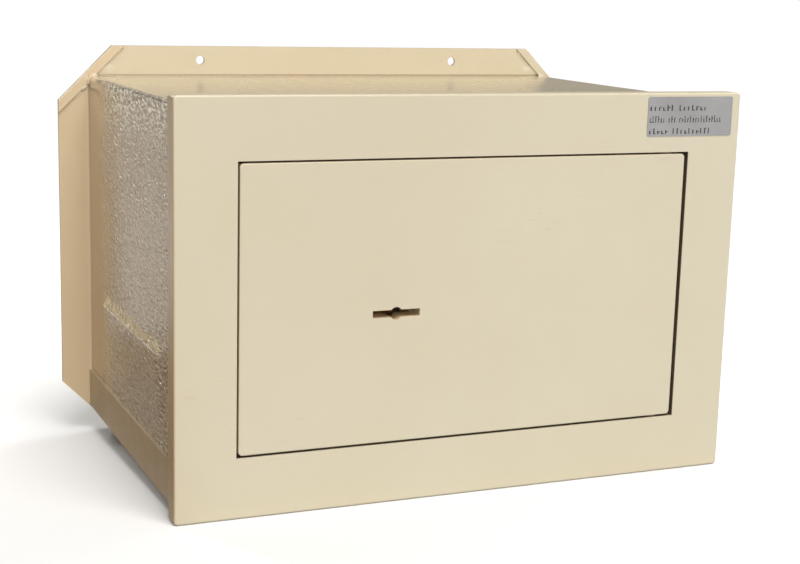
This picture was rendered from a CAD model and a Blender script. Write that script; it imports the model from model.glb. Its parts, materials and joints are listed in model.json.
import bmesh
import bpy
import json
import math
import random
from mathutils import Matrix, Vector, geometry, noise

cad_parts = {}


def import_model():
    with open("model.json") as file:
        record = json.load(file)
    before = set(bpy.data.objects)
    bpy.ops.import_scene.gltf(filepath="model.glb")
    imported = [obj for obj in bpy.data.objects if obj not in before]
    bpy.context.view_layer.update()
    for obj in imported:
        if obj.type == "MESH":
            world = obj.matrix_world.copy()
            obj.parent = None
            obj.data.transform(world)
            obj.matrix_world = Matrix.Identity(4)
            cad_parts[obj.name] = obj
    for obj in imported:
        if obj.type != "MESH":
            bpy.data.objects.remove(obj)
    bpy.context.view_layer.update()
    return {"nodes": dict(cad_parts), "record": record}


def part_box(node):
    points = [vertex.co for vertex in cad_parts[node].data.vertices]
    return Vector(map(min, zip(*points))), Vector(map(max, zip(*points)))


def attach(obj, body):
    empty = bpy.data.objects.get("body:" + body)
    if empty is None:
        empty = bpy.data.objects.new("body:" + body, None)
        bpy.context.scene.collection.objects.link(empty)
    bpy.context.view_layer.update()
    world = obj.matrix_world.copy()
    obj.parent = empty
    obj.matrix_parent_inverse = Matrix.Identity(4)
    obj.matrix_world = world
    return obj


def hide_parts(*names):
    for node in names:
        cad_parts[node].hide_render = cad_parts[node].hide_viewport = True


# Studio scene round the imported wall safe: folded shell, finishes, label, weld filler, lights, camera.

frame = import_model()
MM = 0.001

# --- places read from the frame -----------------------------------------------------------------

PLATE_LOW, PLATE_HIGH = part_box("front_frame")
WRAP_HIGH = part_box("body_wrap")[1]
PANEL_LOW, PANEL_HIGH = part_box("rear_panel")
LIP_LOW, LIP_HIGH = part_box("bottom_pan")
LABEL_LOW, LABEL_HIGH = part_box("rating_label")
DOOR_HALF = Vector((121 * MM, 71 * MM))    # a little over half the opening: across, up
RIM = 6 * MM                               # band round the door that holds the gap's faces

SHEET = 2 * MM
WALL_X = PANEL_HIGH.x + SHEET          # outer face of a side wall
ROOF_Z = PANEL_HIGH.z + SHEET          # outer face of the roof
FOOT_Z = PANEL_LOW.z                   # lower edge of the side walls
SHELL_FRONT_Y = PLATE_HIGH.y           # the sheet body starts behind the front plate
FLANGE_FRONT_Y = -SHEET
FLANGE_CHAMFER = 30.5 * MM
FLANGE_HOLE = (80 * MM, 104 * MM, 2.5 * MM)    # across, up, radius
BEND = 3.0 * MM                        # outer radius between the roof and a side wall
FOLD = 1.0 * MM                        # outer radius between the body and the flange
REST_FRONT_Y = PLATE_LOW.y + 35 * MM   # pressed shelf rest in each side wall
REST_LENGTH = 132 * MM
REST_TAPER = 10 * MM
REST_TOP_Z, REST_CREST_Z, REST_FOOT_Z = -23 * MM, -27 * MM, -72 * MM
REST_PROUD = 3 * MM
REAL_EDGE = 35                         # degrees between faces from which an edge is rounded


# --- mesh helpers -------------------------------------------------------------------------------

def piece(name, mesh, body, material):
    """A new object that rides on a body and takes one material."""
    made = bpy.data.objects.new(name, mesh)
    bpy.context.scene.collection.objects.link(made)
    mesh.materials.clear()
    mesh.materials.append(material)
    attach(made, body)
    return made


def mesh_from(name, work, smooth_angle=40):
    """Finish a bmesh: outward normals, smooth shading with sharp edges above an angle."""
    bmesh.ops.remove_doubles(work, verts=work.verts, dist=1e-7)
    bmesh.ops.recalc_face_normals(work, faces=work.faces)
    limit = math.radians(smooth_angle)
    for face in work.faces:
        face.smooth = True
    for edge in work.edges:
        edge.smooth = len(edge.link_faces) == 2 and edge.calc_face_angle(0) < limit
    mesh = bpy.data.meshes.new(name)
    work.to_mesh(mesh)
    work.free()
    return mesh


def add_grid(work, rows, closed=False):
    """Quads between rows of points; a closed grid joins its last row to its first."""
    made = [[work.verts.new(point) for point in row] for row in rows]
    pairs = list(zip(made, made[1:])) + ([(made[-1], made[0])] if closed else [])
    for near, far in pairs:
        for index in range(len(near) - 1):
            work.faces.new((near[index], near[index + 1], far[index + 1], far[index]))
    return made


def steps(start, stop, size):
    """Even places from start to stop, at most one size apart."""
    count = max(1, math.ceil(abs(stop - start) / size))
    return [start + (stop - start) * index / count for index in range(count + 1)]


def add_plate(work, outline, holes, low_y, high_y):
    """A flat plate across Y with an outline and round holes, both as lists of (x, z)."""
    loops = [[Vector((x, 0, z)) for x, z in loop] for loop in [outline] + holes]
    flat = [Vector((p.x, p.z, 0)) for loop in loops for p in loop]
    faces = geometry.tessellate_polygon([[Vector((p.x, p.z, 0)) for p in loop] for loop in loops])
    near = [work.verts.new((p.x, low_y, p.y)) for p in flat]
    far = [work.verts.new((p.x, high_y, p.y)) for p in flat]
    for corners in faces:
        work.faces.new([near[c] for c in corners])
        work.faces.new([far[c] for c in reversed(corners)])
    first = 0
    for loop in loops:
        count = len(loop)
        for index in range(count):
            a, b = first + index, first + (index + 1) % count
            work.faces.new((near[a], near[b], far[b], far[a]))
        first += count


def round_hole(across, up, radius):
    """A circle of 40 points as (x, z)."""
    angles = [2 * math.pi * k / 40 for k in range(40)]
    return [(across + radius * math.cos(a), up + radius * math.sin(a)) for a in angles]


def soften(thing, width, segments=3):
    """Weld split corners, then round every real edge a little."""
    weld = thing.modifiers.new("weld", "WELD")
    weld.merge_threshold = 1e-6
    bevel = thing.modifiers.new("soft_edges", "BEVEL")
    bevel.width = width
    bevel.segments = segments
    bevel.limit_method = "ANGLE"
    bevel.angle_limit = math.radians(REAL_EDGE)
    bevel.harden_normals = True


def fade(value, start, stop):
    """0 at start, 1 at stop, smooth between."""
    t = min(1, max(0, (value - start) / (stop - start)))
    return t * t * (3 - 2 * t)


# --- materials ----------------------------------------------------------------------------------

CREAM = (0.512, 0.446, 0.317)
DUST = (0.30, 0.22, 0.13)
SHEARED_STEEL = (0.13, 0.095, 0.065)
KEYHOLE_BROWN = (0.55, 0.37, 0.19)
WORN_CREST = (0.92, 0.86, 0.76)


class Graph:
    """Short-hand for one material's node tree."""

    def __init__(self, name):
        self.material = bpy.data.materials.new(name)
        self.material.use_nodes = True
        self.tree = self.material.node_tree
        self.shader = self.tree.nodes["Principled BSDF"]
        coordinates = self.tree.nodes.new("ShaderNodeTexCoord")
        self.place = coordinates.outputs["Object"]
        self.facing = coordinates.outputs["Normal"]

    def add(self, kind, inputs=None, **settings):
        node = self.tree.nodes.new("ShaderNode" + kind)
        for key, value in settings.items():
            setattr(node, key, value)
        for key, value in (inputs or {}).items():
            if isinstance(value, bpy.types.NodeSocket):
                self.tree.links.new(value, node.inputs[key])
            else:
                node.inputs[key].default_value = value
        return node

    def stretch(self, scale, rotation=(0, 0, 0)):
        return self.add("Mapping", {"Vector": self.place, "Scale": scale, "Rotation": rotation}).outputs[0]

    def noise(self, scale, detail=3, rough=0.5, vector=None, distortion=0):
        return self.add("TexNoise", {"Vector": vector or self.place, "Scale": scale, "Detail": detail,
                                     "Roughness": rough, "Distortion": distortion}).outputs["Fac"]

    def cells(self, scale, feature="F1", vector=None, output="Distance"):
        node = self.add("TexVoronoi", feature=feature)
        self.tree.links.new(vector or self.place, node.inputs["Vector"])
        node.inputs["Scale"].default_value = scale
        return node.outputs[output]

    def math(self, operation, first, second=0.5):
        node = self.add("Math", operation=operation)
        for index, value in enumerate((first, second)):
            if isinstance(value, bpy.types.NodeSocket):
                self.tree.links.new(value, node.inputs[index])
            else:
                node.inputs[index].default_value = value
        return node.outputs[0]

    def all(self, *masks):
        """Every mask at once."""
        whole = masks[0]
        for mask in masks[1:]:
            whole = self.math("MULTIPLY", whole, mask)
        return whole

    def parts(self, vector):
        return self.add("SeparateXYZ", {"Vector": vector}).outputs

    def ramp(self, value, *stops):
        node = self.add("ValToRGB", {"Fac": value})
        while len(node.color_ramp.elements) < len(stops):
            node.color_ramp.elements.new(0.5)
        for element, (position, shade) in zip(node.color_ramp.elements, stops):
            element.position = position
            element.color = (*shade, 1)
        return node.outputs["Color"]

    def remap(self, value, low, high, to_low, to_high):
        return self.add("MapRange", {"Value": value, "From Min": low, "From Max": high,
                                     "To Min": to_low, "To Max": to_high}).outputs["Result"]

    def mix(self, factor, first, second):
        node = self.add("Mix", data_type="RGBA")
        for index, value in ((0, factor), (6, first), (7, second)):
            if isinstance(value, bpy.types.NodeSocket):
                self.tree.links.new(value, node.inputs[index])
            elif index == 0:
                node.inputs[index].default_value = value
            else:
                node.inputs[index].default_value = (*value, 1)
        return node.outputs[2]

    def height(self, value, distance, under=None):
        inputs = {"Height": value, "Distance": distance, "Strength": 1.0}
        if under is not None:
            inputs["Normal"] = under
        return self.add("Bump", inputs).outputs["Normal"]

    def finish(self, colour, rough, normal=None, **constants):
        """Link the patterns, set the constants on the shader's own sockets, and give the material."""
        for key, value in (("Base Color", colour), ("Roughness", rough), ("Normal", normal)):
            if value is not None:
                self.tree.links.new(value, self.shader.inputs[key])
        for key, value in constants.items():
            self.shader.inputs[key.replace("_", " ")].default_value = value
        return self.material


def tinted(base, *factors):
    """A colour with each channel scaled."""
    return tuple(min(1, c * k) for c, k in zip(base, factors))


def sheared_edges(g):
    """Mask of the flange's own cut edges: thin outward faces at the rear, clear of the body."""
    place, normal = g.parts(g.place), g.parts(g.facing)
    outwards = g.add("VectorMath", {0: g.place, 1: g.facing}, operation="DOT_PRODUCT").outputs["Value"]
    beside = g.math("GREATER_THAN", g.math("ABSOLUTE", place["X"]), WALL_X + 5 * MM)
    above = g.math("GREATER_THAN", g.math("ABSOLUTE", place["Z"]), ROOF_Z + 5 * MM)
    return g.all(g.math("GREATER_THAN", place["Y"], -3.0 * MM), g.math("MAXIMUM", beside, above),
                 g.math("LESS_THAN", g.math("ABSOLUTE", normal["Y"]), 0.5),
                 g.math("GREATER_THAN", outwards, 0.0))


def fold_line(g):
    """Mask of the inside corner between the roof and the flange."""
    place, rise = g.parts(g.place), g.parts(g.facing)["Z"]
    return g.all(g.math("GREATER_THAN", place["Y"], -4.0 * MM),
                 g.math("LESS_THAN", place["Z"], ROOF_Z + 4 * MM),
                 g.math("LESS_THAN", g.math("ABSOLUTE", place["X"]), WALL_X - BEND - 1 * MM),
                 g.math("GREATER_THAN", rise, 0.15), g.math("LESS_THAN", rise, 0.97))


def cut_faces(g):
    """Masks of the faces behind the front face: first round the door, then in the keyhole."""
    place, normal = g.parts(g.place), g.parts(g.facing)
    across, up = g.math("ABSOLUTE", place["X"]), g.math("ABSOLUTE", place["Z"])
    inside = g.all(g.math("LESS_THAN", across, DOOR_HALF.x), g.math("LESS_THAN", up, DOOR_HALF.y),
                   g.math("GREATER_THAN", place["Y"], PLATE_LOW.y + 0.5 * MM),
                   g.math("LESS_THAN", g.math("ABSOLUTE", normal["Y"]), 0.5))
    rim = g.math("MAXIMUM", g.math("GREATER_THAN", across, DOOR_HALF.x - RIM),
                 g.math("GREATER_THAN", up, DOOR_HALF.y - RIM))
    return g.all(inside, rim), g.all(inside, g.math("SUBTRACT", 1.0, rim))


def plate_ends(g):
    """Mask of the front plate's two outer side faces."""
    place, normal = g.parts(g.place), g.parts(g.facing)
    return g.all(g.math("GREATER_THAN", g.math("ABSOLUTE", place["X"]), PLATE_HIGH.x - 0.4 * MM),
                 g.math("GREATER_THAN", g.math("ABSOLUTE", normal["X"]), 0.6))


def uprights(g):
    """Mask of the flange beside the body."""
    across = g.math("ABSOLUTE", g.parts(g.place)["X"])
    return g.remap(across, WALL_X - 2 * MM, WALL_X + 2 * MM, 0, 0.8)


def enamel(name, base, peel, peel_depth, rough, flange=False, gap=None, coat=(0.15, 0.22), wear=0.6):
    """Sprayed cream enamel: cloudy colour, dust nibs, faint scuffs and orange peel.

    The peel has a scale and a depth, the coat a weight and a roughness, and wear is how much the scuffs show.
    A flange gets dark sheared edges and a shaded fold. A gap is the colour of the faces round the door.
    """
    g = Graph(name)
    cloud = g.noise(7, 4, 0.55)
    colour = g.ramp(cloud, (0.3, tinted(base, 0.975, 0.965, 0.94)), (0.52, base),
                    (0.75, tinted(base, 1.03, 1.03, 1.03)))
    drift = g.noise(34, 3, 0.6)
    colour = g.mix(g.remap(drift, 0.45, 0.75, 0, 0.35), colour, tinted(base, 0.99, 0.975, 0.95))
    nib_mask = g.math("MULTIPLY", g.math("LESS_THAN", g.cells(230), 0.045),
                      g.math("GREATER_THAN", g.noise(21, 2), 0.60))
    colour = g.mix(g.math("MULTIPLY", nib_mask, 0.35), colour, DUST)
    scuffs = g.noise(60, 5, 0.7, g.stretch((1, 1, 6), (0, 0.25, 0)))
    scuff_mask = g.math("MULTIPLY", g.remap(scuffs, 0.62, 0.76, 0, wear),
                        g.math("GREATER_THAN", g.noise(9, 1), 0.58))
    colour = g.mix(scuff_mask, colour, tinted(base, 0.84, 0.76, 0.68))
    if flange:
        colour = g.mix(uprights(g), colour, tinted(base, 0.92, 0.82, 0.72))
        colour = g.mix(g.math("MULTIPLY", sheared_edges(g), 0.85), colour, SHEARED_STEEL)
        colour = g.mix(g.math("MULTIPLY", fold_line(g), 0.85), colour, tinted(base, 0.44, 0.37, 0.29))
    if gap:
        colour = g.mix(g.math("MULTIPLY", plate_ends(g), 0.8), colour, tinted(base, 0.86, 0.70, 0.54))
        rim, keyhole = cut_faces(g)
        colour = g.mix(g.math("MULTIPLY", rim, 0.9), colour, gap)
        colour = g.mix(g.math("MULTIPLY", keyhole, 0.6), colour, KEYHOLE_BROWN)
    roughness = g.remap(g.noise(90, 4, 0.6), 0.3, 0.7, rough - 0.05, rough + 0.07)
    normal = g.height(g.noise(peel, 2, 0.45), peel_depth)
    normal = g.height(g.noise(peel * 4.5, 2, 0.5), peel_depth * 0.16, under=normal)
    normal = g.height(nib_mask, 0.00004, under=normal)
    return g.finish(colour, roughness, normal, Specular_IOR_Level=0.5, Coat_Weight=coat[0],
                    Coat_Roughness=coat[1])


def hammer_enamel(name, base):
    """Thick glossy enamel with a coarse hammered skin, smooth and warmer towards the rear fold."""
    g = Graph(name)
    place = g.parts(g.place)
    ragged = g.math("ADD", place["Y"], g.math("MULTIPLY", g.noise(26, 3), 0.036))
    full = g.remap(ragged, -42 * MM, -16 * MM, 1, 0)
    drawn = g.stretch((1, 0.42, 1.0))
    lumps = g.noise(560, 2, 0.55, drawn, 0.15)
    craters = g.cells(620, "SMOOTH_F1", drawn)
    cloud = g.noise(11, 4, 0.6)
    colour = g.ramp(cloud, (0.3, tinted(base, 0.93, 0.92, 0.90)), (0.55, base),
                    (0.78, tinted(base, 1.03, 1.03, 1.03)))
    hollow = g.math("MULTIPLY", g.remap(lumps, 0.55, 0.38, 0, 0.56), full)
    colour = g.mix(hollow, colour, tinted(base, 0.54, 0.50, 0.50))
    colour = g.mix(g.remap(full, 0, 1, 0.85, 0), colour, tinted(base, 0.94, 0.76, 0.50))
    tips = g.math("MULTIPLY", g.remap(lumps, 0.48, 0.57, 0, 1), full)
    bright = g.remap(place["Z"], ROOF_Z - 26 * MM, ROOF_Z - 7 * MM, 0.06, 1.0)
    colour = g.mix(g.math("MULTIPLY", tips, bright), colour, tinted(base, 2.2, 2.3, 2.6))
    ledge = rest_mask(g, place, REST_CREST_Z, REST_TOP_Z)
    colour = g.mix(g.math("MULTIPLY", ledge, 0.8), colour, tinted(base, 1.12, 1.02, 0.74))
    crest = rest_mask(g, place, REST_CREST_Z - 0.8 * MM, REST_CREST_Z + 0.1 * MM)
    worn = g.remap(g.noise(170, 3), 0.34, 0.52, 0.35, 1)
    colour = g.mix(g.math("MULTIPLY", crest, worn), colour, WORN_CREST)
    rise = g.parts(g.facing)["Z"]
    bend = g.all(g.remap(rise, 0.52, 0.76, 0, 1), g.math("LESS_THAN", rise, 0.995),
                 g.math("GREATER_THAN", place["Z"], ROOF_Z - BEND - 1 * MM),
                 g.remap(place["Y"], -45 * MM, -12 * MM, 1, 0))
    colour = g.mix(g.math("MULTIPLY", bend, 0.6), colour, tinted(base, 0.48, 0.42, 0.43))
    full = g.math("MULTIPLY", full, g.remap(bend, 0, 1, 1.0, 0.25))
    roughness = g.remap(g.noise(140, 3), 0.35, 0.65, 0.12, 0.20)
    normal = g.height(g.math("MULTIPLY", lumps, full), 0.0026)
    normal = g.height(g.math("MULTIPLY", craters, full), 0.0009, under=normal)
    normal = g.height(g.noise(380, 2, 0.45), 0.00008, under=normal)
    return g.finish(colour, roughness, normal, Specular_IOR_Level=0.5, Coat_Weight=0.45,
                    Coat_Roughness=0.07)


def rest_mask(g, place, low_z, high_z):
    """Mask of a level band on the pressed shelf rest, where it stands off the wall."""
    along = g.math("MULTIPLY", g.math("GREATER_THAN", place["Y"], REST_FRONT_Y + REST_TAPER * 0.4),
                   g.math("LESS_THAN", place["Y"], REST_FRONT_Y + REST_LENGTH - REST_TAPER * 0.3))
    level = g.math("MULTIPLY", g.math("GREATER_THAN", place["Z"], low_z),
                   g.math("LESS_THAN", place["Z"], high_z))
    return g.math("MULTIPLY", along, level)


def brushed(name, base, rough, scale, metallic=1.0, stain=None):
    """Metal brushed or rolled in one direction, with cloudy stains, which are a dimmer base unless given."""
    g = Graph(name)
    lines = g.noise(scale, 4, 0.65, g.stretch((1, 1, 0.02)))
    cloud = g.noise(38, 4, 0.6)
    dark = stain or tuple(c * 0.72 for c in base)
    colour = g.ramp(cloud, (0.28, dark), (0.55, base), (0.8, tuple(min(1, c * 1.12) for c in base)))
    colour = g.mix(g.remap(lines, 0.35, 0.7, 0, 0.30), colour, tuple(c * 0.80 for c in base))
    roughness = g.remap(g.math("ADD", lines, cloud), 0.7, 1.3, rough - 0.07, rough + 0.12)
    normal = g.height(lines, 0.00002)
    normal = g.height(g.noise(420, 3, 0.6), 0.00003, under=normal)
    return g.finish(colour, roughness, normal, Metallic=metallic)


def zinc(name):
    """Passivated zinc plate: spangled, faintly yellow and blue, with fine handling scratches."""
    g = Graph(name)
    spangle = g.cells(330, output="Color")
    grey = g.add("RGBToBW", {"Color": spangle}).outputs[0]
    colour = g.ramp(grey, (0.2, (0.53, 0.525, 0.50)), (0.5, (0.60, 0.60, 0.58)), (0.85, (0.65, 0.65, 0.65)))
    colour = g.mix(g.remap(g.noise(24, 4, 0.6), 0.45, 0.75, 0, 0.40), colour, (0.60, 0.55, 0.42))
    scratches = g.noise(700, 3, 0.6, g.stretch((1, 1, 0.03), (0.3, 0.9, 0)))
    colour = g.mix(g.remap(scratches, 0.62, 0.75, 0, 0.35), colour, (0.75, 0.75, 0.74))
    roughness = g.remap(g.noise(120, 4, 0.6), 0.3, 0.7, 0.26, 0.44)
    normal = g.height(scratches, 0.00002)
    normal = g.height(g.noise(260, 3), 0.00008, under=normal)
    return g.finish(colour, roughness, normal, Metallic=0.95)


def brass(name, base, rough):
    """Milled brass with tarnish in the clouds and fine tool marks."""
    g = Graph(name)
    marks = g.noise(900, 3, 0.6, g.stretch((0.04, 1, 1)))
    cloud = g.noise(60, 5, 0.65)
    colour = g.ramp(cloud, (0.30, tuple(c * k for c, k in zip(base, (0.45, 0.40, 0.36)))), (0.5, base),
                    (0.8, tuple(min(1, c * 1.15) for c in base)))
    roughness = g.remap(g.math("ADD", marks, cloud), 0.7, 1.3, rough - 0.06, rough + 0.18)
    normal = g.height(marks, 0.00002)
    return g.finish(colour, roughness, normal, Metallic=1.0)


def foil(name):
    """Brushed silver label stock with a slightly lifted, creased surface."""
    g = Graph(name)
    lines = g.noise(1500, 3, 0.6, g.stretch((0.02, 1, 1)))
    cloud = g.noise(45, 4, 0.6)
    colour = g.ramp(cloud, (0.3, (0.255, 0.24, 0.222)), (0.55, (0.297, 0.28, 0.262)),
                    (0.8, (0.33, 0.313, 0.29)))
    colour = g.mix(g.remap(lines, 0.4, 0.65, 0, 0.25), colour, (0.235, 0.223, 0.205))
    roughness = g.remap(lines, 0.3, 0.7, 0.34, 0.5)
    normal = g.height(lines, 0.000012)
    normal = g.height(g.noise(70, 3), 0.0002, under=normal)
    return g.finish(colour, roughness, normal, Metallic=0.15)


def ink(name):
    """Patchy black print."""
    g = Graph(name)
    patchy = g.noise(900, 4, 0.6)
    colour = g.ramp(patchy, (0.3, (0.02, 0.02, 0.022)), (0.7, (0.05, 0.05, 0.055)))
    return g.finish(colour, g.remap(patchy, 0.3, 0.7, 0.5, 0.7))


FRONT = enamel("cream_enamel_front", CREAM, 430, 0.00006, 0.36, gap=(0.08, 0.055, 0.035))
DOOR = enamel("cream_enamel_door", CREAM, 430, 0.00006, 0.36, gap=(0.58, 0.39, 0.21))
BODY = enamel("cream_enamel_body", tinted(CREAM, 1.02, 1.0, 0.98), 380, 0.00010, 0.34, flange=True)
ROOF = enamel("cream_enamel_roof", tinted(CREAM, 0.89, 0.83, 0.74), 190, 0.00010, 0.30, flange=True,
              coat=(0.7, 0.16), wear=0.12)
PAN = enamel("cream_enamel_pan", tinted(CREAM, 0.79, 0.70, 0.59), 380, 0.00010, 0.34)
STRAP = enamel("cream_enamel_strap", tinted(CREAM, 1.07, 0.975, 0.90), 420, 0.00012, 0.32)
FILLER = enamel("pale_filler_enamel", tinted(CREAM, 1.12, 1.13, 1.18), 700, 0.00010, 0.28)
HAMMER = hammer_enamel("cream_hammer_enamel", tinted(CREAM, 0.94, 0.90, 0.90))
FOIL = foil("label_foil")
INK = ink("label_ink")
ZINC = zinc("zinc_plated_steel")
TURNED = brushed("bolt_steel", (0.63, 0.63, 0.64), 0.24, 900)
FASTENER = brushed("fastener_steel", (0.46, 0.46, 0.46), 0.36, 1100)
WASHER = brushed("washer_bronze", (0.13, 0.09, 0.055), 0.62, 900, metallic=0.35)
SPRING = brushed("spring_steel", (0.30, 0.32, 0.36), 0.30, 900, stain=(0.16, 0.18, 0.24))
ROTOR = brass("rotor_brass", (0.55, 0.38, 0.17), 0.32)
LEVER = brass("lever_brass", (0.68, 0.50, 0.22), 0.26)

FINISHES = {
    "cream_enamel_front": FRONT, "cream_enamel_body": BODY, "cream_hammer_enamel": HAMMER,
    "label_foil": FOIL, "zinc_plated_steel": ZINC, "bolt_steel": TURNED, "fastener_steel": FASTENER,
    "spring_steel": SPRING, "rotor_brass": ROTOR, "lever_brass": LEVER,
}
OWN_FINISHES = {"door_plate": DOOR, "bottom_pan": PAN, "corner_strap_left": STRAP,
                "hinge_washer_upper": WASHER, "hinge_washer_lower": WASHER}

# --- carried-over nodes -------------------------------------------------------------------------

EDGE_WIDTHS = {                        # in mm
    "front_frame": 0.3, "door_plate": 0.25, "bottom_pan": 0.15, "rear_panel": 0.4, "lock_case": 0.5,
    "lock_cap": 0.3, "bolt_bar": 0.3, "hinge_side_dog": 0.6, "key_rotor": 0.25, "lock_screws": 0.2,
    "dog_screws": 0.2, "bar_rivets": 0.3, "bolt_guide_upper": 0.4, "bolt_guide_lower": 0.4,
    "door_stop_top": 0.5, "door_stop_bottom": 0.5, "door_stop_side": 0.4,
    "corner_strap_left": 0.4, "corner_strap_right": 0.4, "locking_bolt_upper": 0.3, "locking_bolt_lower": 0.3,
    "hinge_pin_upper": 0.3, "hinge_pin_lower": 0.3, "hinge_washer_upper": 0.12, "hinge_washer_lower": 0.12,
}


def dress_nodes():
    """Give every carried-over node its finish and its rounded edges."""
    for entry in frame["record"]["subparts"]:
        node = frame["nodes"][entry["node"]]
        node.data.materials.clear()
        node.data.materials.append(OWN_FINISHES.get(entry["node"]) or FINISHES[entry["material_slot"]])
        soften(node, EDGE_WIDTHS.get(entry["node"], 0.1) * MM)


# --- sheet shell --------------------------------------------------------------------------------

def rest_depth(y, z):
    """How far the pressed shelf rest stands proud of a side wall, with a small round at its crest."""
    rear_y = REST_FRONT_Y + REST_LENGTH
    along = min(fade(y, REST_FRONT_Y, REST_FRONT_Y + REST_TAPER), fade(-y, -rear_y, REST_TAPER - rear_y))
    above = (REST_TOP_Z - z) / (REST_TOP_Z - REST_CREST_Z)
    below = (z - REST_FOOT_Z) / (REST_CREST_Z - REST_FOOT_Z)
    if min(above, below) <= 0:
        return 0
    if z < REST_CREST_Z:
        below = 0.35 * below + 0.65 * fade(below, 0, 1)
    return REST_PROUD * along * min(1, above, below)


def dimple(y, z, side):
    """Hammered paint skin: rounded pits and runs, smooth on the ledge and near the rear fold."""
    place = Vector((side * 40, y * 0.5, z)) * 430
    pits = noise.noise(place) + 0.5 * noise.noise(place * 2.1)
    calm = fade(-y, 30 * MM, 58 * MM)
    on_ledge = fade(z, REST_CREST_Z - 1 * MM, REST_CREST_Z) * fade(-z, -REST_TOP_Z, 1 * MM - REST_TOP_Z)
    on_ledge *= 1 if REST_FRONT_Y < y < REST_FRONT_Y + REST_LENGTH else 0
    edge = fade(z, FOOT_Z, FOOT_Z + 4 * MM)
    return 0.22 * MM * pits * calm * edge * (1 - 0.8 * on_ledge)


def wall_heights():
    """Rows up a side wall, closer together round the crest of the shelf rest."""
    marks = (FOOT_Z, REST_CREST_Z - 1.2 * MM, REST_TOP_Z + 0.6 * MM, ROOF_Z - BEND)
    heights = steps(marks[0], marks[1], 1.0 * MM)
    heights += steps(marks[1], REST_CREST_Z, 0.3 * MM)[1:]
    heights += steps(REST_CREST_Z, marks[2], 0.46 * MM)[1:]
    return heights + steps(marks[2], marks[3], 1.0 * MM)[1:]


def bend_points(centre_x, start):
    """Points round one upper bend, a quarter turn on from an angle, without its ends."""
    arc = [start - math.pi / 2 * k / 6 for k in range(1, 6)]
    return [(centre_x + BEND * math.cos(a), ROOF_Z - BEND + BEND * math.sin(a), math.cos(a), math.sin(a), 0)
            for a in arc]


def wall_profile():
    """Outer U section as (x, z, outward x, outward z, side): up the left, over and down the right."""
    heights = wall_heights()
    points = [(-WALL_X, z, -1, 0, -1) for z in heights]
    points += bend_points(-WALL_X + BEND, math.pi)
    points += [(x, ROOF_Z, 0, 1, 0) for x in steps(BEND - WALL_X, WALL_X - BEND, 4 * MM)]
    points += bend_points(WALL_X - BEND, math.pi / 2)
    points += [(WALL_X, z, 1, 0, 1) for z in reversed(heights)]
    return points


def sheet_shell():
    """Folded wrap with its dimpled enamel, pressed rests, rear fold and flange."""
    work = bmesh.new()
    profile = wall_profile()
    fold_start = FLANGE_FRONT_Y - FOLD
    stations = steps(SHELL_FRONT_Y, fold_start, 1.0 * MM)
    stations += [fold_start + FOLD * math.sin(math.pi / 2 * k / 6) for k in range(1, 7)]
    rows = []
    for y in stations:
        into = max(0, y - fold_start) / FOLD
        flare = FOLD * (1 - math.sqrt(max(0, 1 - into * into)))
        row = []
        for x, z, out_x, out_z, side in profile:
            out = flare
            if side:
                out += rest_depth(y, z) + dimple(y, z, side)
            elif out_z < 1:
                out += dimple(y, z, math.copysign(1, out_x)) * abs(out_x) * 0.4
            else:
                out += 0.10 * MM * noise.noise(Vector((x, y, 5)) * 28)
            row.append((x + out_x * out, y, z + out_z * out))
        rows.append(row)
    inner = [(x - out_x * SHEET, z - out_z * SHEET, side, out_x) for x, z, out_x, out_z, side in profile]
    inner_rows = []
    for y in reversed(steps(SHELL_FRONT_Y, -0.2 * MM, 4 * MM)):
        inner_rows.append([(x + (out_x * rest_depth(y, z) if side else 0), y, z)
                           for x, z, side, out_x in inner])
    made = add_grid(work, rows + inner_rows, closed=True)
    for end in (0, -1):
        work.faces.new([row[end] for row in made])
    holes = [round_hole(side * FLANGE_HOLE[0], FLANGE_HOLE[1], FLANGE_HOLE[2]) for side in (-1, 1)]
    add_plate(work, flange_outline(), holes, FLANGE_FRONT_Y, 0)
    shell = piece("folded_shell", mesh_from("folded_shell", work), "root", HAMMER)
    shell.data.materials.append(BODY)
    shell.data.materials.append(ROOF)
    hammered, plain, glossy = range(3)
    for face in shell.data.polygons:
        centre = face.center
        on_body = centre.y < fold_start
        on_side = abs(centre.x) > WALL_X - BEND
        outside = face.normal.x * centre.x > 0 or face.normal.z > 0.5
        if on_body and outside and on_side:
            face.material_index = hammered
        elif on_body and centre.z > ROOF_Z - 0.5 * MM:
            face.material_index = glossy
        else:
            face.material_index = plain
    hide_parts("body_wrap")
    return shell


def flange_outline():
    """Inverted U of the upper flange with chamfered corners, cut off level with the wall's foot."""
    wide, high = WRAP_HIGH.x, WRAP_HIGH.z
    shoulder = high - FLANGE_CHAMFER
    toe = wide + high - FLANGE_CHAMFER + FOOT_Z
    inner_x, inner_z = WALL_X - SHEET, ROOF_Z - SHEET
    right = [(wide - FLANGE_CHAMFER, high), (wide, shoulder), (wide, -shoulder), (toe, FOOT_Z),
             (inner_x, FOOT_Z), (inner_x, inner_z)]
    return right + [(-x, z) for x, z in reversed(right)]


# --- label and welds ----------------------------------------------------------------------------

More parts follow.
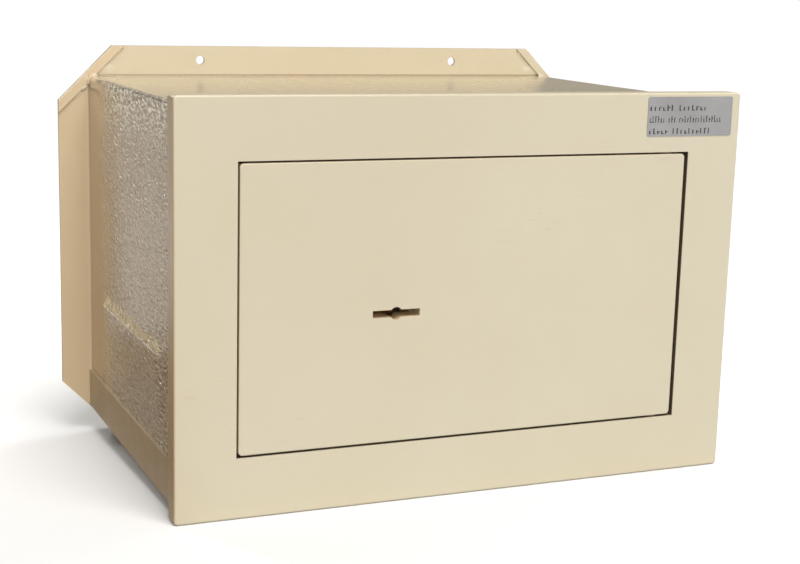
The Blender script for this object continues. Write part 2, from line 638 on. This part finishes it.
def label():
    """Foil label with rounded corners and three rows of plain ticks, which spell nothing."""
    low, high = LABEL_LOW, LABEL_HIGH
    corner = 1.2 * MM
    outline = []
    for cx, cz, start in ((high.x - corner, high.z - corner, 0), (low.x + corner, high.z - corner, 90),
                          (low.x + corner, low.z + corner, 180), (high.x - corner, low.z + corner, 270)):
        for k in range(7):
            angle = math.radians(start + 15 * k)
            outline.append((cx + corner * math.cos(angle), cz + corner * math.sin(angle)))
    work = bmesh.new()
    add_plate(work, outline, [], low.y, high.y)
    foil_piece = piece("foil_label", mesh_from("foil_label", work), "root", FOIL)
    soften(foil_piece, 0.06 * MM, 2)
    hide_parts("rating_label")

    work = bmesh.new()
    chance = random.Random(11)
    top = low.y - 0.02 * MM
    # each row: its share of the label's height, the ticks' size and pitch, and how many are in each group
    rows = ((0.72, 2.9 * MM, 2.50 * MM, (6, 7)), (0.43, 3.3 * MM, 1.62 * MM, (6, 3, 16)),
            (0.13, 2.9 * MM, 2.36 * MM, (5, 10)))
    for share, size, pitch, groups in rows:
        x = low.x + 1.2 * MM
        base = low.z + (high.z - low.z) * share - size / 2
        for group in groups:
            for _ in range(group):
                tall = size * chance.choice((0.62, 0.72, 1.0))
                wide = pitch * chance.uniform(0.26, 0.38)
                tick(work, x, x + wide, base, base + tall, top, low.y)
                if chance.random() < 0.6:
                    level = base + tall * chance.choice((0.0, 0.45, 0.84))
                    right = x + pitch * chance.uniform(0.5, 0.72)
                    tick(work, x + wide, right, level, level + size * 0.18, top, low.y)
                x += pitch
            x += pitch * 0.9
    return piece("label_bars", mesh_from("label_bars", work), "root", INK)


def tick(work, left, right, low, high, near, far):
    """One printed bar, a thin box."""
    add_plate(work, [(left, low), (right, low), (right, high), (left, high)], [], near, far)


def daub(name, centre, out, run, half_run, half_width, proud, seed, material=FILLER):
    """A smooth lumpy dab of filler or weld under paint: a low dome on a surface.

    It stands proud towards out, and its half sizes are along run and across it.
    """
    centre, out, run = Vector(centre), Vector(out).normalized(), Vector(run).normalized()
    side = out.cross(run)
    work = bmesh.new()
    rings, spokes = 7, 24
    rows = []
    for ring in range(1, rings + 1):
        share = ring / rings
        row = []
        for k in range(spokes + 1):
            angle = 2 * math.pi * (k % spokes) / spokes
            ragged = 1 + 0.32 * noise.noise(Vector((math.cos(angle) * 1.3, math.sin(angle) * 1.3, seed)))
            flat = (run * math.cos(angle) * half_run + side * math.sin(angle) * half_width) * share * ragged
            lump = 1 + 0.35 * noise.noise(flat * 900 + Vector((seed, 0, 0)))
            row.append(centre + flat + out * (proud * (1 - share ** 2) ** 0.8 * lump - 0.05 * MM))
        rows.append(row)
    made = add_grid(work, rows)
    peak = work.verts.new(centre + out * proud)
    for k in range(spokes):
        work.faces.new((peak, made[0][k], made[0][k + 1]))
    work.faces.new([made[-1][k] for k in reversed(range(spokes))])
    return piece(name, mesh_from(name, work, 80), "root", material)


def fillers():
    """Dabs where the straps, the flange corners and the shelf rests were welded and dressed."""
    front = FLANGE_FRONT_Y
    ahead = (0, -1, 0)
    for name, side in (("left", -1), ("right", 1)):
        slope = (side, 0, -1)
        daub("corner_filler_" + name, (side * (WALL_X - 9 * MM), front, ROOF_Z + 4.4 * MM),
             ahead, (1, 0, 0), 7.0 * MM, 2.6 * MM, 0.30 * MM, side + 2)
        daub("fold_corner_" + name, (side * (WALL_X - 1.4 * MM), front - 0.8 * MM, ROOF_Z - 1.1 * MM),
             (side, -1.5, 1), slope, 4.4 * MM, 3.0 * MM, 1.5 * MM, side + 31, BODY)
        daub("strap_dot_" + name, (side * (WALL_X + 2.9 * MM), front - 0.7 * MM, ROOF_Z - 6.2 * MM),
             ahead, slope, 2.4 * MM, 2.0 * MM, 0.6 * MM, side + 8)
        daub("strap_streak_" + name, (side * (WALL_X + 6.4 * MM), front, ROOF_Z - 10.2 * MM), ahead, slope,
             3.8 * MM, 1.6 * MM, 0.5 * MM, side + 11)
        daub("strap_end_" + name, (side * (WALL_X - 18.2 * MM), front, ROOF_Z + 14.0 * MM), ahead, slope,
             2.6 * MM, 0.8 * MM, 0.5 * MM, side + 14)
    spatter = (-WALL_X - REST_PROUD + 0.3 * MM, REST_FRONT_Y + 66 * MM, REST_CREST_Z + 0.5 * MM)
    daub("rest_spatter", spatter, (-1, 0, 0.5), (0, 1, 0), 2.2 * MM, 1.3 * MM, 0.8 * MM, 21)


# --- stage --------------------------------------------------------------------------------------

LAMP_DISTANCE = 1.7
WARM_WHITE, COOL_WHITE = (1.0, 0.985, 0.96), (0.97, 0.985, 1.0)
BOUNCE_BEHIND, BOUNCE_AHEAD, BOUNCE_LEFT = (0.62, 0.58, 0.54), (0.44, 0.53, 0.66), (0.20, 0.125, 0.065)


def floor():
    """Pale floor under the front plate and the flange, tilted as the safe rests on both.

    It is pale to the camera. What it reflects onto the safe is cooler in front, and dim and brown at the left.
    """
    rise = (PLATE_LOW.z - LIP_LOW.z) / (LIP_HIGH.y - PLATE_LOW.y)
    mesh = bpy.data.meshes.new("floor")
    reach = 40.0
    drop = 0.05 * MM
    corners = [(x, y, LIP_LOW.z - rise * y - drop)
               for x, y in ((-reach, -reach), (reach, -reach), (reach, reach), (-reach, reach))]
    mesh.from_pydata(corners, [], [(0, 1, 2, 3)])
    made = bpy.data.objects.new("floor", mesh)
    bpy.context.scene.collection.objects.link(made)
    g = Graph("floor_paper")
    tone = g.ramp(g.noise(2.5, 3), (0.3, (0.785, 0.785, 0.785)), (0.7, (0.805, 0.805, 0.805)))
    place = g.parts(g.place)
    left = g.all(g.remap(place["X"], -0.13, -0.19, 0, 1), g.remap(place["X"], -0.75, -0.60, 0, 1),
                 g.remap(place["Y"], 0.34, 0.22, 0, 1))
    bounce = g.mix(g.remap(place["Y"], -0.15, -0.25, 0, 1), BOUNCE_BEHIND, BOUNCE_AHEAD)
    bounce = g.mix(left, bounce, BOUNCE_LEFT)
    tone = g.mix(g.add("LightPath").outputs["Is Camera Ray"], bounce, tone)
    roughness = g.remap(g.noise(30, 3), 0.3, 0.7, 0.85, 0.95)
    mesh.materials.append(g.finish(tone, roughness, Specular_IOR_Level=0.0))


def world():
    """As pale as the floor to the eye, and a dimmer even light on the object."""
    made = bpy.data.worlds.new("studio")
    made.use_nodes = True
    tree = made.node_tree
    background = tree.nodes["Background"]
    background.inputs["Color"].default_value = (0.98, 0.98, 0.97, 1)
    background.inputs["Strength"].default_value = 0.22
    seen = tree.nodes.new("ShaderNodeBackground")
    seen.inputs["Color"].default_value = (1, 1, 1, 1)
    seen.inputs["Strength"].default_value = 1.0
    path = tree.nodes.new("ShaderNodeLightPath")
    blend = tree.nodes.new("ShaderNodeMixShader")
    tree.links.new(path.outputs["Is Camera Ray"], blend.inputs[0])
    tree.links.new(background.outputs[0], blend.inputs[1])
    tree.links.new(seen.outputs[0], blend.inputs[2])
    tree.links.new(blend.outputs[0], tree.nodes["World Output"].inputs["Surface"])
    bpy.context.scene.world = made


def lamp(name, kind, turn, climb, strength, tint):
    """A light on the safe from one direction: degrees to the right of the front, and above level."""
    turn, climb = math.radians(turn), math.radians(climb)
    toward = Vector((math.sin(turn) * math.cos(climb), -math.cos(turn) * math.cos(climb), math.sin(climb)))
    light = bpy.data.lights.new(name, kind)
    light.energy = strength
    light.color = tint
    made = bpy.data.objects.new(name, light)
    bpy.context.scene.collection.objects.link(made)
    made.location = Vector((0, -0.1, 0)) + toward * LAMP_DISTANCE
    made.rotation_euler = (-toward).to_track_quat("-Z", "Y").to_euler()
    return light


def lights():
    """Key from above the front, fill beside the camera, soft back light, and a small glint at the left."""
    key = lamp("key", "SUN", 3, 60, 0.98 * math.pi, WARM_WHITE)
    key.angle = math.radians(36)
    fill = lamp("camera_fill", "SUN", -9, 12, 0.61 * math.pi, WARM_WHITE)
    fill.angle = math.radians(24)
    back = lamp("back_light", "SUN", 118, 30, 0.36 * math.pi, COOL_WHITE)
    back.angle = math.radians(36)
    glint = lamp("left_glint", "AREA", -150, 28, 6.3, (1.0, 0.97, 0.90))
    glint.shape = "RECTANGLE"
    glint.size, glint.size_y = 0.24, 0.14


def camera():
    """Camera placed by azimuth, elevation, roll and distance round the middle of the front plate."""
    azimuth, elevation, roll = (math.radians(a) for a in (-23.31, 11.15, 1.54))
    distance, across, up_shift = 0.74715, -0.0355, 0.0081
    target = Vector((0, PLATE_LOW.y, 0))
    back = Vector((math.sin(azimuth) * math.cos(elevation), -math.cos(azimuth) * math.cos(elevation),
                   math.sin(elevation)))
    right = Vector((math.cos(azimuth), math.sin(azimuth), 0))
    up = back.cross(right)
    turned_right = right * math.cos(roll) + up * math.sin(roll)
    turned_up = up * math.cos(roll) - right * math.sin(roll)
    lens = bpy.data.cameras.new("camera")
    lens.lens = 68.52
    lens.sensor_width = 36
    lens.clip_end = 200
    made = bpy.data.objects.new("camera", lens)
    bpy.context.scene.collection.objects.link(made)
    spot = target + back * distance + turned_right * across + turned_up * up_shift
    made.matrix_world = Matrix((
        (turned_right.x, turned_up.x, back.x, spot.x), (turned_right.y, turned_up.y, back.y, spot.y),
        (turned_right.z, turned_up.z, back.z, spot.z), (0, 0, 0, 1)))
    bpy.context.scene.camera = made


bpy.context.scene.view_settings.view_transform = "Standard"
dress_nodes()
sheet_shell()
label()
fillers()
floor()
world()
lights()
camera()
